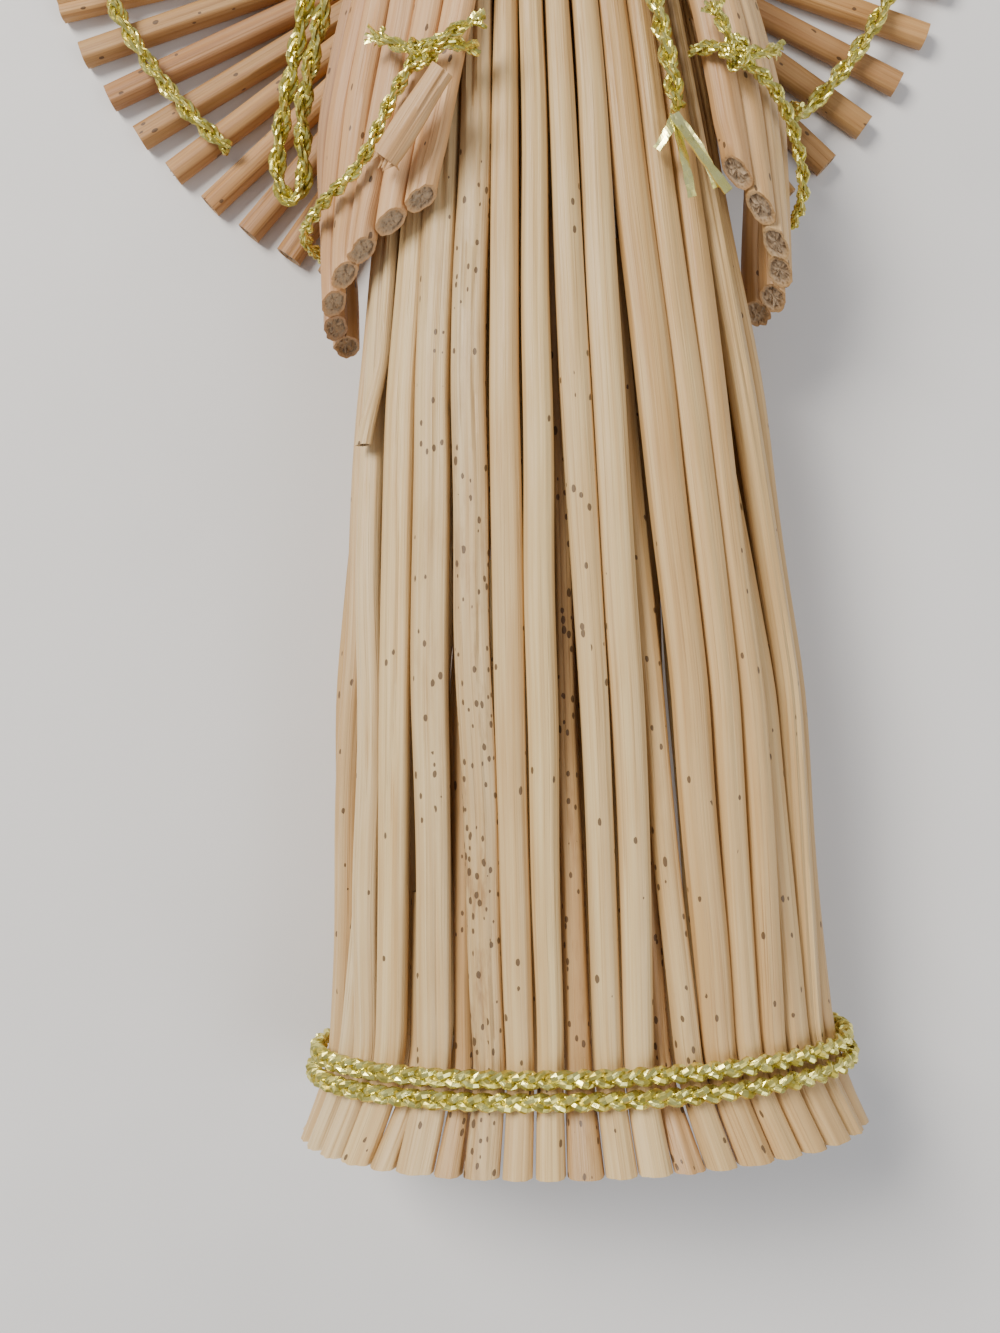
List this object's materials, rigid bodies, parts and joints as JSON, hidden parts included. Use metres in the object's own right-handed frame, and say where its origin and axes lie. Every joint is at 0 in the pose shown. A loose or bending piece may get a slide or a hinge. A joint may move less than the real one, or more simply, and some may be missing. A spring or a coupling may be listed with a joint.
{
  "type": "straw angel ornament",
  "caption": "Angel ornament of wheat straw lying on its back: flared straw gown, slant-cut sleeves, fanned wings and a plain straw head, tied with gold cord.",
  "frame": {"origin": "middle of the footprint, on the surface that the ornament lies on", "axes": "+Y from hem to head, +Z out of the front, +X to the viewer's right"},
  "size_m": [0.1086, 0.1756, 0.0332],
  "materials": {
    "straw": "natural satin straw",
    "wing_straw": "natural darker straw",
    "gold_cord": "braided metallic cord",
    "tinsel": "bright flat tinsel"
  },
  "bodies": {
    "root": {"skirt_straw_01": "straw", "skirt_straw_02": "straw", "skirt_straw_03": "straw", "skirt_straw_04": "straw", "skirt_straw_05": "straw", "skirt_straw_06": "straw", "skirt_straw_07": "straw", "skirt_straw_08": "straw", "skirt_straw_09": "straw", "skirt_straw_10": "straw", "skirt_straw_11": "straw", "skirt_straw_12": "straw", "skirt_straw_13": "straw", "skirt_straw_14": "straw", "skirt_straw_15": "straw", "skirt_straw_16": "straw", "skirt_straw_17": "straw", "skirt_straw_18": "straw", "skirt_straw_19": "straw", "skirt_straw_20": "straw", "skirt_straw_21": "straw", "skirt_straw_22": "straw", "skirt_straw_23": "straw", "skirt_straw_24": "straw", "skirt_straw_25": "straw", "skirt_straw_26": "straw", "skirt_straw_27": "straw", "skirt_straw_28": "straw", "skirt_straw_29": "straw", "skirt_straw_30": "straw", "skirt_straw_31": "straw", "skirt_straw_32": "straw", "skirt_straw_33": "straw", "skirt_straw_34": "straw", "skirt_straw_35": "straw", "skirt_straw_36": "straw", "skirt_straw_37": "straw", "skirt_straw_38": "straw", "skirt_straw_39": "straw", "skirt_straw_40": "straw", "skirt_straw_41": "straw", "skirt_straw_42": "straw", "short_straw": "straw", "left_sleeve": "straw", "right_sleeve": "straw", "left_wing": "wing_straw", "right_wing": "wing_straw", "head": "straw", "hem_cord": "gold_cord", "neck_tie": "gold_cord", "wing_tie": "gold_cord", "left_sleeve_tie": "gold_cord", "right_sleeve_tie": "gold_cord", "left_wing_lacing": "gold_cord", "right_wing_lacing": "gold_cord", "hanging_loop": "gold_cord", "front_tail": "gold_cord", "tail_tinsel": "tinsel", "bent_straw": "straw"}
  },
  "joints": []
}
